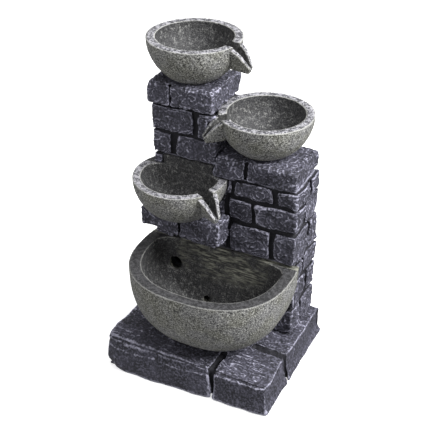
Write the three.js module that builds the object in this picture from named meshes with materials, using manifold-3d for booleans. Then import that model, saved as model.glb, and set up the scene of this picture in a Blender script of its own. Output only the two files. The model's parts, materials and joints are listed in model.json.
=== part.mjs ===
// Tabletop water fountain: four bowls that overflow into each other down a pair of brick pedestals.
// A small pump in a tub behind the lowest basin lifts the water through a hose to the top bowl.
// Millimetres, +Z up. The fountain faces -Y. Inside this file Y is measured from the middle of the base
// slab, and the group at the end moves the whole model so that its box is centred on the origin.

import * as THREE from 'three';
import { mergeVertices } from 'three/addons/utils/BufferGeometryUtils.js';
import Module from 'manifold-3d';

const wasm = await Module();
wasm.setup();

// ---- driving dimensions -------------------------------------------------------------------------------

const GAP = 0.3; // clearance between pieces that touch
const PAST = 1; // how far a cutter runs past the face that it cuts
const CLEAR_OF_ALL = 200; // how far a cutter runs where nothing else is in its way

const BASE = { halfX: 105, halfY: 88, bottom: 1.8, top: 43, wall: 8, chamfer: 3, joint: 4 };
// The joints between the base's stones, and how far in the two on its top run.
const BASE_JOINTS = {
  front: { x: [32, 38.5], reach: -50 },
  right: { y: [-27, -21], reach: 60 },
  left: { y: [14, 20] },
  rear: { x: [-22, -16] },
};
const FOOT = { radius: 8, thickness: 1.5, x: 92, y: 73, post: 22 };

const WALL_PLANE = 17.5; // mortar plane of the front wall
const BRICK_PROUD = 3;
const BACK_PLANE = 81;
const WATER_WALL = { front: 16, back: 24 }; // flat back wall of the basin and of the left bowl

const TOWER = { left: -89.5, right: -14.5, top: 318 };
const COLUMN = { left: -11.2, right: 89.5, top: 241.5 };
const SHELL_WALL = 6.8; // from the mortar plane to the hollow inside
const TOWER_COURSES = [43.3, 74, 104, 134, 164, 194, 222, 251.5, 281.5, 318];
const COLUMN_COURSES = [43.3, 76, 112, 139, 182, 215.5, 241.5];
const TOWER_MORTAR = { bed: 3, upright: 7 }; // heights of the flat joints, widths of the standing ones
const COLUMN_MORTAR = { bed: 5, upright: 5 };
const SIDE_BOND = [0.42, 0.62]; // share of the depth at which the side joints of even and odd courses stand

const TOP_CAP = { x: [-94, -12.8], y: [10.5, 83.2], z: [318.3, 345.8], jointX: -65 };
const RIGHT_CAP = { x: [-8.4, 90.8], y: [12.8, 84], z: [241.8, 267.8], jointX: 28 };
const LEDGE_CAP = { x: [-98.7, 6.3], y: [-12, 14.2], z: [161.7, 193.2], jointX: -46 };
const CAP_CHAMFER = 2.5;
const UNDER_CAP = 2; // height of the open joint under a capstone
const CAP_JOINT = { width: 3.5, depth: 4 };

const BOWL_SEGMENTS = 40;
const BASIN_SEGMENTS = 52;
const PROFILE_LEVELS = 10;
const TOP_BOWL = { x: -52.3, y: 46.7, rim: 393.8, bottom: 346.1, radius: 54.8, inner: 44.6, spout: -5 };
const RIGHT_BOWL = { x: 36.6, y: 49.1, rim: 317.1, bottom: 268.1, radius: 54.8, inner: 44.6, spout: -141 };
const LEFT_BOWL = { x: -48.9, y: 0.3, rim: 239.4, bottom: 193.5, radius: 55.8, inner: 46.4, spout: -28 };
const BOWL_FLOOR = 8; // thickness under the lowest point inside
// Sections of the spout from its root to its tip: distance out from the bowl's middle, half-width, and
// height above the rim, along the underside and along the two lips.
const SPOUT_SECTIONS = [
  { under: { out: 40, half: 5.5, z: -27 }, lip: { out: 51, half: 15, z: 0 } },
  { under: { out: 58, half: 4.2, z: -29.4 }, lip: { out: 62, half: 10.8, z: -7.5 } },
  { under: { out: 71, half: 2.6, z: -30.5 }, lip: { out: 73.5, half: 5.2, z: -22.5 } },
];
// The left bowl's wall behind the water, and the exponent of the hollow's plan towards it.
const SPLASH_BACK = { x: [-80, -15], front: 16.3, root: 6, top: 251, plan: 3 };

const BASIN = {
  x: -0.5,
  y: -8.4,
  rim: 139.6,
  bottom: 43.3,
  halfX: 98.7,
  halfY: 92.4,
  innerX: 84.3,
  innerY: 79.4,
  plan: 2.4, // exponent of the superellipse in plan
  backPlan: 4, // the same for the back half of the hollow
  profile: 2.5, // exponent of the superellipse of the side profile
  depthScale: 103, // depth at which the side profile would close
  floor: 53,
};
const UPPER_HOLE = { x: -66.2, z: 101.3, width: 15, height: 17.5 };
const LOWER_HOLE = { x: -18, y: 4, z: 62.5, radius: 4.6, angle: 20 };

const WELL = { x: [-82.2, -21.8], y: [24.6, 74.2], z: [43.6, 142], wall: 2.4 };
const DOORWAY = { x: [-73, -31], z: [156, 240] };
const COVER = { x: [-80, -24], z: [148, 248], back: 84.5, lip: 2, lipDepth: 5 };
const COVER_SCREW = { inset: 3.5, shank: 1.4, head: 2.9, length: 9, headHeight: 1.4 };
const GROMMET = { x: -52, z: 172, bore: 4, neck: 5.7, flange: 7.6, flangeThickness: 1.2 };

// The pump lies along Y, with its intake at the front, on the axis of its rotor.
const PUMP = { x: -52, axisZ: 64, halfX: 17, bottom: 51.5, top: 85.5, skin: 2 };
const PUMP_Y = { strainer: [27.8, 38.2], volute: [38.5, 46.2], housing: [46.5, 68.5], cap: [68.8, 70.8] };
const ROTOR = { wellRadius: 5.4, magnetRadius: 5, shaftRadius: 1, boreRadius: 1.1, wellDepth: 18.2 };
const NOZZLE = { offsetX: 7, y: 42.4, radius: 3.7, bore: 2.6, top: 101 };
const HOSE = { inner: 4, outer: 5.8, bottom: 89, top: 309, sides: 10, steps: 22 };
const NIPPLE = { bottom: 299, radius: 3.7, bore: 2.6, flange: 9, flangeThickness: 1.8, rise: 4 };

// ---- solids -------------------------------------------------------------------------------------------

// Turns a closed geometry into a manifold, merging shared corners and dropping collapsed triangles.
function solid(geometry) {
  const bare = geometry.clone();
  bare.deleteAttribute('normal');
  bare.deleteAttribute('uv');
  const merged = mergeVertices(bare, 1e-4);
  const index = merged.getIndex().array;
  const triangles = [];
  for (let i = 0; i < index.length; i += 3) {
    const [a, b, c] = [index[i], index[i + 1], index[i + 2]];
    if (a !== b && b !== c && c !== a) triangles.push(a, b, c);
  }
  return new wasm.Manifold(
    new wasm.Mesh({
      numProp: 3,
      vertProperties: new Float32Array(merged.getAttribute('position').array),
      triVerts: new Uint32Array(triangles),
    }),
  );
}

function geometryOf(manifold) {
  const mesh = manifold.getMesh();
  const geometry = new THREE.BufferGeometry();
  geometry.setAttribute('position', new THREE.BufferAttribute(mesh.vertProperties, 3));
  geometry.setIndex(new THREE.BufferAttribute(mesh.triVerts, 1));
  geometry.computeVertexNormals();
  return geometry;
}

function joined(...solids) {
  return solids.reduce((sum, next) => sum.add(next));
}

function without(body, ...cutters) {
  return cutters.reduce((rest, cutter) => rest.subtract(cutter), body);
}

function block([x0, x1], [y0, y1], [z0, z1]) {
  const box = new THREE.BoxGeometry(x1 - x0, y1 - y0, z1 - z0);
  return solid(box.translate((x0 + x1) / 2, (y0 + y1) / 2, (z0 + z1) / 2));
}

// A block whose top and bottom edges are cut at 45 degrees.
function chamferedBlock([x0, x1], [y0, y1], [z0, z1], cut) {
  const outline = new THREE.Shape([
    new THREE.Vector2(x0 + cut, y0 + cut),
    new THREE.Vector2(x1 - cut, y0 + cut),
    new THREE.Vector2(x1 - cut, y1 - cut),
    new THREE.Vector2(x0 + cut, y1 - cut),
  ]);
  const extrusion = new THREE.ExtrudeGeometry(outline, {
    depth: z1 - z0 - 2 * cut,
    bevelEnabled: true,
    bevelSize: cut,
    bevelThickness: cut,
    bevelSegments: 1,
  });
  return solid(extrusion.translate(0, 0, z0 + cut));
}

function rodAlongZ(radius, [z0, z1], x, y, segments = 20) {
  const rod = new THREE.CylinderGeometry(radius, radius, z1 - z0, segments);
  return solid(rod.rotateX(Math.PI / 2).translate(x, y, (z0 + z1) / 2));
}

function rodAlongY(radius, [y0, y1], x, z, segments = 20) {
  const rod = new THREE.CylinderGeometry(radius, radius, y1 - y0, segments);
  return solid(rod.translate(x, (y0 + y1) / 2, z));
}

// A solid of revolution about Z. Its profile is a list of [radius, height] pairs, outside first.
function turned(profile, segments) {
  const points = profile.map(([radius, height]) => new THREE.Vector2(radius, height));
  const lathe = new THREE.LatheGeometry(points, segments);
  return solid(lathe.rotateX(Math.PI / 2));
}

// A box bent so that its eight corners are where they are wanted, in the order of the loops below.
function bentBox(corners) {
  const box = new THREE.BoxGeometry(2, 2, 2);
  const position = box.getAttribute('position');
  for (let i = 0; i < position.count; i += 1) {
    const end = position.getX(i) > 0 ? 4 : 0;
    const side = position.getY(i) > 0 ? 2 : 0;
    const level = position.getZ(i) > 0 ? 1 : 0;
    position.setXYZ(i, ...corners[end + side + level]);
  }
  return solid(box);
}

// ---- bowls --------------------------------------------------------------------------------------------

// Side profile of a bowl from its foot up to its rim: a superellipse that would close at a given depth.
function bowlProfile(radius, depth, closingDepth, power, levels, rim) {
  const profile = [[0, rim - depth]];
  for (let i = 0; i <= levels; i += 1) {
    const angle = (1 - i / levels) * Math.asin(Math.min(1, depth / closingDepth));
    const below = closingDepth * Math.sin(angle);
    profile.push([radius * (1 - (below / closingDepth) ** power) ** (1 / power), rim - below]);
  }
  return profile;
}

function bowlOuter(bowl, grow = 0) {
  const radius = bowl.radius + grow;
  const depth = bowl.rim - bowl.bottom + grow;
  const profile = bowlProfile(radius, depth, radius, 2, PROFILE_LEVELS, bowl.rim);
  if (grow > 0) profile.push([radius, bowl.rim + grow], [0, bowl.rim + grow]);
  else profile.push([0, bowl.rim]);
  return turned(profile, BOWL_SEGMENTS).translate(bowl.x, bowl.y, 0);
}

function hollowProfile(bowl, radius) {
  const depth = bowl.rim - bowl.bottom - BOWL_FLOOR;
  const profile = bowlProfile(radius, depth, depth + 1.5, 2.15, PROFILE_LEVELS, bowl.rim);
  profile.push([radius, bowl.rim + PAST], [0, bowl.rim + PAST]);
  return profile;
}

function bowlHollow(bowl) {
  return turned(hollowProfile(bowl, bowl.inner), BOWL_SEGMENTS).translate(bowl.x, bowl.y, 0);
}

// The pouring spout: a V trough that leaves the rim and falls ever more steeply to a blunt tip.
function spoutBody(grow = 0) {
  const corners = SPOUT_SECTIONS.flatMap(({ under, lip }) => [
    ...[-1, 1].map((side) => [under.out, side * (under.half + grow), under.z - grow]),
    ...[-1, 1].map((side) => [lip.out, side * (lip.half + grow), lip.z + grow]),
  ]);
  const tip = corners.slice(-4).map(([out, half, z]) => [out + grow, half, z]);
  return wasm.Manifold.hull([...corners, ...tip]);
}

function spoutChannel() {
  return bentBox([
    [37, -2.5, -15],
    [37, -11, 12],
    [37, 2.5, -15],
    [37, 11, 12],
    [78, -0.8, -27.5],
    [78, -4.2, -12],
    [78, 0.8, -27.5],
    [78, 4.2, -12],
  ]);
}

function atSpout(piece, bowl) {
  return piece.rotate([0, 0, bowl.spout]).translate(bowl.x, bowl.y, bowl.rim);
}

function bowlSolid(bowl) {
  const outside = joined(bowlOuter(bowl), atSpout(spoutBody(), bowl));
  return without(outside, bowlHollow(bowl), atSpout(spoutChannel(), bowl));
}

// Everything behind the flat back wall, except what shows past the left side of the tower.
function behindWaterWall(fromX) {
  return block([fromX, CLEAR_OF_ALL], [WATER_WALL.back, CLEAR_OF_ALL], [0, 2 * CLEAR_OF_ALL]);
}

// Half-width of a plan superellipse in the direction of an angle.
function planReach(angle, halfX, halfY, power) {
  const across = Math.abs(Math.cos(angle) / halfX) ** power;
  const along = Math.abs(Math.sin(angle) / halfY) ** power;
  return (across + along) ** (-1 / power);
}

// Stretches a round solid of unit radius to the reach that a function gives for each direction.
function stretched(profile, segments, reach) {
  const points = profile.map(([radius, height]) => new THREE.Vector2(radius, height));
  const lathe = new THREE.LatheGeometry(points, segments).rotateX(Math.PI / 2);
  const position = lathe.getAttribute('position');
  for (let i = 0; i < position.count; i += 1) {
    const radius = Math.hypot(position.getX(i), position.getY(i));
    const angle = Math.atan2(position.getY(i), position.getX(i));
    const length = radius * reach(angle);
    position.setXY(i, length * Math.cos(angle), length * Math.sin(angle));
  }
  return solid(lathe);
}

// The left bowl's hollow is round in front and shallow behind, and its back wall stands above the rim.
function leftBowlHollow() {
  const backReach = WATER_WALL.front - GAP - LEFT_BOWL.y;
  const reach = (angle) =>
    Math.sin(angle) > 0 ? planReach(angle, LEFT_BOWL.inner, backReach, SPLASH_BACK.plan) : LEFT_BOWL.inner;
  return stretched(hollowProfile(LEFT_BOWL, 1), BOWL_SEGMENTS, reach).translate(LEFT_BOWL.x, LEFT_BOWL.y, 0);
}

function splashBack(grow = 0) {
  const { x, front, root, top } = SPLASH_BACK;
  const panelX = [x[0] - grow, x[1] + grow];
  const frontY = grow > 0 ? front - CLEAR_OF_ALL : front;
  return block(panelX, [frontY, WATER_WALL.back + grow], [LEFT_BOWL.rim - root, top + grow]);
}

function leftBowlSolid() {
  const outside = joined(bowlOuter(LEFT_BOWL), atSpout(spoutBody(), LEFT_BOWL), splashBack());
  const towerSide = TOWER.left - BRICK_PROUD - GAP;
  const channel = atSpout(spoutChannel(), LEFT_BOWL);
  return without(outside, leftBowlHollow(), channel, behindWaterWall(towerSide));
}

function basinOuter(grow = 0) {
  const depth = BASIN.rim - BASIN.bottom;
  const profile = bowlProfile(1, depth, BASIN.depthScale, BASIN.profile, PROFILE_LEVELS, BASIN.rim);
  if (grow > 0) {
    const foot = [profile[1][0], BASIN.bottom - grow];
    profile.splice(0, 1, [0, BASIN.bottom - grow], foot);
    profile.push([1, BASIN.rim + grow], [0, BASIN.rim + grow]);
  } else {
    profile.push([0, BASIN.rim]);
  }
  const reach = (angle) => planReach(angle, BASIN.halfX + grow, BASIN.halfY + grow, BASIN.plan);
  return stretched(profile, BASIN_SEGMENTS, reach).translate(BASIN.x, BASIN.y, 0);
}

// The hollow is squarer towards the back, where it meets the flat wall.
function basinHollow() {
  const depth = BASIN.rim - BASIN.floor;
  const profile = bowlProfile(1, depth, depth + 2, BASIN.profile, PROFILE_LEVELS, BASIN.rim);
  profile.push([1, BASIN.rim + PAST], [0, BASIN.rim + PAST]);
  const backReach = WATER_WALL.front - BASIN.y;
  const reach = (angle) =>
    Math.sin(angle) > 0
      ? planReach(angle, BASIN.innerX, backReach, BASIN.backPlan)
      : planReach(angle, BASIN.innerX, BASIN.innerY, BASIN.plan);
  return stretched(profile, BASIN_SEGMENTS, reach).translate(BASIN.x, BASIN.y, 0);
}

// The two water holes run from the basin, through its back wall, into the pump tub.
function waterHoles() {
  const half = (UPPER_HOLE.height - UPPER_HOLE.width) / 2;
  const radius = UPPER_HOLE.width / 2;
  const run = [0, WELL.y[0] + WELL.wall + PAST];
  const upper = joined(
    rodAlongY(radius, run, UPPER_HOLE.x, UPPER_HOLE.z + half, 16),
    rodAlongY(radius, run, UPPER_HOLE.x, UPPER_HOLE.z - half, 16),
    block([UPPER_HOLE.x - radius, UPPER_HOLE.x + radius], run, [UPPER_HOLE.z - half, UPPER_HOLE.z + half]),
  );
  const lower = rodAlongY(LOWER_HOLE.radius, [-8, 30], 0, 0, 12)
    .rotate([0, 0, LOWER_HOLE.angle])
    .translate(LOWER_HOLE.x, LOWER_HOLE.y, LOWER_HOLE.z);
  return joined(upper, lower);
}

function basinSolid() {
  return without(basinOuter(), behindWaterWall(-CLEAR_OF_ALL), basinHollow(), waterHoles());
}

// ---- stonework ----------------------------------------------------------------------------------------

function baseSlab() {
  const { halfX, halfY, bottom, top, wall, chamfer, joint } = BASE;
  const slab = chamferedBlock([-halfX, halfX], [-halfY, halfY], [bottom - chamfer, top], chamfer);
  const floor = block([-CLEAR_OF_ALL, CLEAR_OF_ALL], [-CLEAR_OF_ALL, CLEAR_OF_ALL], [bottom - top, bottom]);
  let pocket = block([wall - halfX, halfX - wall], [wall - halfY, halfY - wall], [bottom - PAST, top - wall]);
  for (const x of [-1, 1]) {
    for (const y of [-1, 1]) {
      const cornerX = [x * halfX, x * (halfX - FOOT.post)].sort((a, b) => a - b);
      const cornerY = [y * halfY, y * (halfY - FOOT.post)].sort((a, b) => a - b);
      pocket = pocket.subtract(block(cornerX, cornerY, [0, top]));
    }
  }
  const topJoint = [top - 3, top + PAST];
  const fullHeight = [0, top + PAST];
  const { front, right, left, rear } = BASE_JOINTS;
  const joints = [
    block(front.x, [-halfY - PAST, front.reach], topJoint),
    block(front.x, [-halfY - PAST, joint - halfY], fullHeight),
    block([right.reach, halfX + PAST], right.y, topJoint),
    block([halfX - joint, halfX + PAST], right.y, fullHeight),
    block([-halfX - PAST, joint - halfX], left.y, fullHeight),
    block(rear.x, [halfY - joint, halfY + PAST], fullHeight),
  ];
  return without(slab, floor, pocket, ...joints);
}

// Splits a wall's length into bricks at the given joints, leaving the mortar's width between them.
function brickSpans(from, to, joints, width) {
  const ends = [from, ...joints, to];
  return ends.slice(1).map((end, i) => {
    const start = ends[i];
    const left = i === 0 ? start : start + width / 2;
    const right = i === ends.length - 2 ? end : end - width / 2;
    return [left, right];
  });
}

// A hollow brick tower: a plain core, courses of proud bricks on the chosen faces, and a clear shaft.
function brickShell({ x, top, courses, mortar, faces, bond }) {
  const y = [WALL_PLANE, BACK_PLANE];
  const outerX = [x[0] - (faces.left ? BRICK_PROUD : 0), x[1] + (faces.right ? BRICK_PROUD : 0)];
  const outerY = [y[0] - BRICK_PROUD, y[1] + BRICK_PROUD];
  let shell = block(x, y, [courses[0], top]);
  for (let row = 0; row < courses.length - 1; row += 1) {
    const isLast = row === courses.length - 2;
    const z = [courses[row] + (row === 0 ? 0 : mortar.bed), courses[row + 1] - (isLast ? UNDER_CAP : 0)];
    const shares = bond[row % bond.length];
    const lengthJoints = shares.map((share) => x[0] + share * (x[1] - x[0]));
    const depthJoint = [y[0] + SIDE_BOND[row % 2] * (y[1] - y[0])];
    for (const span of brickSpans(outerX[0], outerX[1], lengthJoints, mortar.upright)) {
      const front = block(span, [outerY[0], y[0] + PAST], z);
      const rear = block(span, [y[1] - PAST, outerY[1]], z);
      shell = joined(shell, front, rear);
    }
    for (const span of brickSpans(outerY[0], outerY[1], depthJoint, mortar.upright)) {
      if (faces.left) shell = shell.add(block([outerX[0], x[0] + PAST], span, z));
      if (faces.right && z[0] >= faces.rightFrom) {
        shell = shell.add(block([x[1] - PAST, outerX[1]], span, z));
      }
    }
  }
  const shaft = block(
    [x[0] + SHELL_WALL, x[1] - SHELL_WALL],
    [y[0] + SHELL_WALL, y[1] - SHELL_WALL],
    [courses[0] - PAST, top + PAST],
  );
  return shell.subtract(shaft);
}

// The basin and the left bowl sit in the front wall, so their outlines are cut out of it.
function waterCutters() {
  const across = [-CLEAR_OF_ALL, CLEAR_OF_ALL];
  const front = block(across, [-CLEAR_OF_ALL, WATER_WALL.back + GAP], [0, 2 * CLEAR_OF_ALL]);
  return joined(basinOuter(2 * GAP), bowlOuter(LEFT_BOWL, 2 * GAP), splashBack(GAP)).intersect(front);
}

// The right bowl is let into the tower's right side, and its spout passes the tower's front corner.
function rightBowlCutter() {
  return joined(bowlOuter(RIGHT_BOWL, 2 * GAP), atSpout(spoutBody(2 * GAP), RIGHT_BOWL));
}

function coverScrewPlaces() {
  const { x, z } = COVER;
  const places = [];
  for (const [level, height] of [['lower', z[0] + COVER_SCREW.inset], ['upper', z[1] - COVER_SCREW.inset]]) {
    for (const [side, across] of [['left', x[0] + COVER_SCREW.inset], ['right', x[1] - COVER_SCREW.inset]]) {
      places.push({ name: `cover_screw_${level}_${side}`, x: across, z: height });
    }
  }
  return places;
}

function towerShell() {
  const shell = brickShell({
    x: [TOWER.left, TOWER.right],
    top: TOWER.top,
    courses: TOWER_COURSES,
    mortar: TOWER_MORTAR,
    faces: { left: true, right: true, rightFrom: COLUMN.top },
    bond: [[0.71], [0.3, 0.72], [0.62], [0.33]],
  });
  const recess = block(
    [COVER.x[0] - GAP, COVER.x[1] + GAP],
    [BACK_PLANE, BACK_PLANE + 10],
    [COVER.z[0] - GAP, COVER.z[1] + GAP],
  );
  const doorway = block(DOORWAY.x, [BACK_PLANE - SHELL_WALL - PAST, BACK_PLANE + PAST], DOORWAY.z);
  const pilots = coverScrewPlaces().map(({ x, z }) =>
    rodAlongY(COVER_SCREW.shank + GAP, [BACK_PLANE - SHELL_WALL - PAST, BACK_PLANE + PAST], x, z, 12),
  );
  return without(shell, waterCutters(), rightBowlCutter(), recess, doorway, ...pilots);
}

function columnShell() {
  const shell = brickShell({
    x: [COLUMN.left, COLUMN.right],
    top: COLUMN.top,
    courses: COLUMN_COURSES,
    mortar: COLUMN_MORTAR,
    faces: { left: false, right: true, rightFrom: 0 },
    bond: [[0.4, 0.78], [0.24, 0.6], [0.46], [0.18, 0.74], [0.14, 0.5], [0.23, 0.76]],
  });
  return without(shell, waterCutters());
}

function capstone(cap, ...cutters) {
  const slab = chamferedBlock(cap.x, cap.y, cap.z, CAP_CHAMFER);
  const half = CAP_JOINT.width / 2;
  const frontJoint = block(
    [cap.jointX - half, cap.jointX + half],
    [cap.y[0] - PAST, cap.y[0] + CAP_JOINT.depth],
    [cap.z[0] - PAST, cap.z[1] + PAST],
  );
  return without(slab, frontJoint, ...cutters);
}

// ---- water side: tub, hose and inlet ------------------------------------------------------------------

function pumpWell() {
  const [x, y, z, wall] = [WELL.x, WELL.y, WELL.z, WELL.wall];
  const inside = block([x[0] + wall, x[1] - wall], [y[0] + wall, y[1] - wall], [z[0] + wall, z[1] + PAST]);
  return without(block(x, y, z), inside, waterHoles());
}

function inletPassage(radius) {
  return rodAlongZ(radius, [TOP_CAP.z[0] - PAST, TOP_BOWL.rim], TOP_BOWL.x, TOP_BOWL.y);
}

// A flanged tube that brings the water up through the top capstone and the floor of the top bowl.
function inletNipple() {
  const floor = TOP_BOWL.bottom + BOWL_FLOOR + GAP;
  const profile = [
    [NIPPLE.bore, NIPPLE.bottom],
    [NIPPLE.radius - 0.6, NIPPLE.bottom],
    [NIPPLE.radius, NIPPLE.bottom + 3],
    [NIPPLE.radius, TOP_CAP.z[0]],
    [NIPPLE.radius + 1.2, TOP_CAP.z[0] + 2],
    [NIPPLE.radius + 1.2, floor],
    [NIPPLE.flange, floor],
    [NIPPLE.flange, floor + NIPPLE.flangeThickness],
    [NIPPLE.radius, floor + NIPPLE.rise],
    [NIPPLE.bore, floor + NIPPLE.rise],
    [NIPPLE.bore, NIPPLE.bottom],
  ];
  return turned(profile, 20).translate(TOP_BOWL.x, TOP_BOWL.y, 0);
}

// The riser hose bends from the pump's nozzle to the inlet nipple.
function riserHose() {
  const start = [PUMP.x + NOZZLE.offsetX, NOZZLE.y];
  const end = [TOP_BOWL.x, TOP_BOWL.y];
  const straight = 14;
  const route = new THREE.CatmullRomCurve3([
    new THREE.Vector3(...start, HOSE.bottom),
    new THREE.Vector3(...start, NOZZLE.top + straight),
    new THREE.Vector3(start[0] * 0.5 + end[0] * 0.5, start[1] * 0.5 + end[1] * 0.5, 200),
    new THREE.Vector3(...end, NIPPLE.bottom - straight),
    new THREE.Vector3(...end, HOSE.top),
  ]);
  const section = new THREE.Shape().absarc(0, 0, HOSE.outer, 0, 2 * Math.PI);
  section.holes.push(new THREE.Path().absarc(0, 0, HOSE.inner, 0, 2 * Math.PI));
  const tube = new THREE.ExtrudeGeometry(section, {
    extrudePath: route,
    steps: HOSE.steps,
    curveSegments: HOSE.sides / 2, // an arc gets twice as many sides
    bevelEnabled: false,
  });
  return solid(tube);
}

// ---- back cover ---------------------------------------------------------------------------------------

function rearCover() {
  const { x, z, back, lip, lipDepth } = COVER;
  const face = BACK_PLANE + GAP;
  const plate = block(x, [face, back], z);
  const lipX = [DOORWAY.x[0] + GAP * 2, DOORWAY.x[1] - GAP * 2];
  const lipZ = [DOORWAY.z[0] + GAP * 2, DOORWAY.z[1] - GAP * 2];
  const lipRing = without(
    block(lipX, [face - lipDepth, face + PAST], lipZ),
    block([lipX[0] + lip, lipX[1] - lip], [0, face], [lipZ[0] + lip, lipZ[1] - lip]),
  );
  const screwHoles = coverScrewPlaces().map((at) =>
    rodAlongY(COVER_SCREW.shank + GAP, [face - PAST, back + PAST], at.x, at.z, 12),
  );
  const cordHole = rodAlongY(GROMMET.neck + GAP, [face - 10, back + PAST], GROMMET.x, GROMMET.z);
  return without(joined(plate, lipRing), cordHole, ...screwHoles);
}

// Turned about Z, then laid along +Y with its own Z pointing backwards.
function layAlongY(piece, x, y, z) {
  return piece.rotate([-90, 0, 0]).translate(x, y, z);
}

function coverScrew({ x, z }) {
  const under = COVER.back + GAP;
  const profile = [
    [0, -COVER_SCREW.length],
    [COVER_SCREW.shank * 0.4, -COVER_SCREW.length],
    [COVER_SCREW.shank, 2 - COVER_SCREW.length],
    [COVER_SCREW.shank, 0],
    [COVER_SCREW.head, 0],
    [COVER_SCREW.head, COVER_SCREW.headHeight * 0.4],
    [COVER_SCREW.head * 0.6, COVER_SCREW.headHeight],
    [0, COVER_SCREW.headHeight],
  ];
  const screw = layAlongY(turned(profile, 14), x, under, z);
  const slotDepth = [under + COVER_SCREW.headHeight - 0.7, under + COVER_SCREW.headHeight + PAST];
  const acrossSlot = block([x - 1.6, x + 1.6], slotDepth, [z - 0.35, z + 0.35]);
  const uprightSlot = block([x - 0.35, x + 0.35], slotDepth, [z - 1.6, z + 1.6]);
  return without(screw, acrossSlot, uprightSlot);
}

function cableGrommet() {
  const { bore, neck, flange, flangeThickness } = GROMMET;
  const plate = COVER.back - BACK_PLANE + GAP;
  const profile = [
    [bore, -flangeThickness],
    [flange, -flangeThickness],
    [flange, 0],
    [neck, 0],
    [neck, plate],
    [flange, plate],
    [flange, plate + flangeThickness],
    [bore, plate + flangeThickness],
    [bore, -flangeThickness],
  ];
  return layAlongY(turned(profile, 20), GROMMET.x, BACK_PLANE, GROMMET.z);
}

// ---- pump ---------------------------------------------------------------------------------------------

const PUMP_X = [PUMP.x - PUMP.halfX, PUMP.x + PUMP.halfX];

// The housing is a box open at the back, with a blind rotor well open at the front.
function pumpHousing() {
  const [y0, y1] = PUMP_Y.housing;
  const box = chamferedBlock(PUMP_X, [y0, y1], [PUMP.bottom, PUMP.top], 1);
  const pocket = block(
    [PUMP_X[0] + PUMP.skin, PUMP_X[1] - PUMP.skin],
    [y0 + PUMP.skin, y1 + PAST],
    [PUMP.bottom + PUMP.skin, PUMP.top - PUMP.skin],
  );
  const wellEnd = y0 + ROTOR.wellDepth;
  const tube = rodAlongY(ROTOR.wellRadius + 1.2, [y0 + 1, wellEnd + 1.5], PUMP.x, PUMP.axisZ);
  const well = rodAlongY(ROTOR.wellRadius, [y0 - PAST, wellEnd], PUMP.x, PUMP.axisZ);
  const gland = rodAlongZ(4, [PUMP.top - 1, PUMP.top + 5], PUMP.x - 9, y1 - 6, 16);
  const glandBore = rodAlongZ(2.6, [PUMP.top - 4, PUMP.top + 6], PUMP.x - 9, y1 - 6, 12);
  return without(joined(box.subtract(pocket), tube, gland), well, glandBore);
}

function pumpBackCap() {
  const plate = chamferedBlock(PUMP_X, PUMP_Y.cap, [PUMP.bottom, PUMP.top], 0.6);
  const inner = PUMP.skin + GAP;
  const plug = block(
    [PUMP_X[0] + inner, PUMP_X[1] - inner],
    [PUMP_Y.cap[0] - 1.6, PUMP_Y.cap[0] + 1],
    [PUMP.bottom + inner, PUMP.top - inner],
  );
  return joined(plate, plug);
}

const CORE_Y = [52, 61];
const CORE_LEG = { inner: 7.2, outer: 12.2, bottom: 56, top: 79.5, bridge: 5 };

// A laminated iron horseshoe: its legs stand beside the rotor well and its bridge carries the coil.
function statorCore() {
  const { inner, outer, bottom, top, bridge } = CORE_LEG;
  return joined(
    block([PUMP.x - outer, PUMP.x - inner], CORE_Y, [bottom, top]),
    block([PUMP.x + inner, PUMP.x + outer], CORE_Y, [bottom, top]),
    block([PUMP.x - outer, PUMP.x + outer], CORE_Y, [top - bridge, top]),
  );
}

function statorCoil() {
  const reach = CORE_LEG.inner - GAP;
  const across = [PUMP.x - reach, PUMP.x + reach];
  const bridge = [CORE_LEG.top - CORE_LEG.bridge, CORE_LEG.top];
  const along = [CORE_Y[0] - 2.5, CORE_Y[1] + 2.5];
  const winding = chamferedBlock(across, along, [bridge[0] - 3, bridge[1] + 3], 1);
  const eye = block(
    [across[0] - PAST, across[1] + PAST],
    [CORE_Y[0] - GAP, CORE_Y[1] + GAP],
    [bridge[0] - GAP, bridge[1] + GAP],
  );
  return winding.subtract(eye);
}

const MAGNET_Y = [46.8, 63.6];
const IMPELLER_Y = [41, 46.5];

function rotorMagnet() {
  return without(
    rodAlongY(ROTOR.magnetRadius, MAGNET_Y, PUMP.x, PUMP.axisZ, 24),
    rodAlongY(ROTOR.boreRadius, [MAGNET_Y[0] - PAST, MAGNET_Y[1] + PAST], PUMP.x, PUMP.axisZ, 16),
  );
}

function impeller() {
  const blades = 6;
  const bladeY = [IMPELLER_Y[0], IMPELLER_Y[1] - 1.2];
  let wheel = joined(
    rodAlongY(2.8, IMPELLER_Y, 0, 0, 20),
    rodAlongY(5, [IMPELLER_Y[1] - 1.4, IMPELLER_Y[1]], 0, 0, 24),
  );
  for (let i = 0; i < blades; i += 1) {
    const blade = block([2, 9.6], bladeY, [-0.6, 0.6]).rotate([0, (360 / blades) * i, 0]);
    wheel = wheel.add(blade);
  }
  const bore = rodAlongY(ROTOR.boreRadius, [IMPELLER_Y[0] - PAST, IMPELLER_Y[1] + PAST], 0, 0, 16);
  return wheel.subtract(bore).translate(PUMP.x, 0, PUMP.axisZ);
}

function rotorShaft() {
  return rodAlongY(ROTOR.shaftRadius, [38.9, 64.4], PUMP.x, PUMP.axisZ, 16);
}

function shaftBush(y, radius) {
  return without(
    rodAlongY(radius, y, PUMP.x, PUMP.axisZ, 16),
    rodAlongY(ROTOR.shaftRadius + GAP, [y[0] - PAST, y[1] + PAST], PUMP.x, PUMP.axisZ, 16),
  );
}

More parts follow.
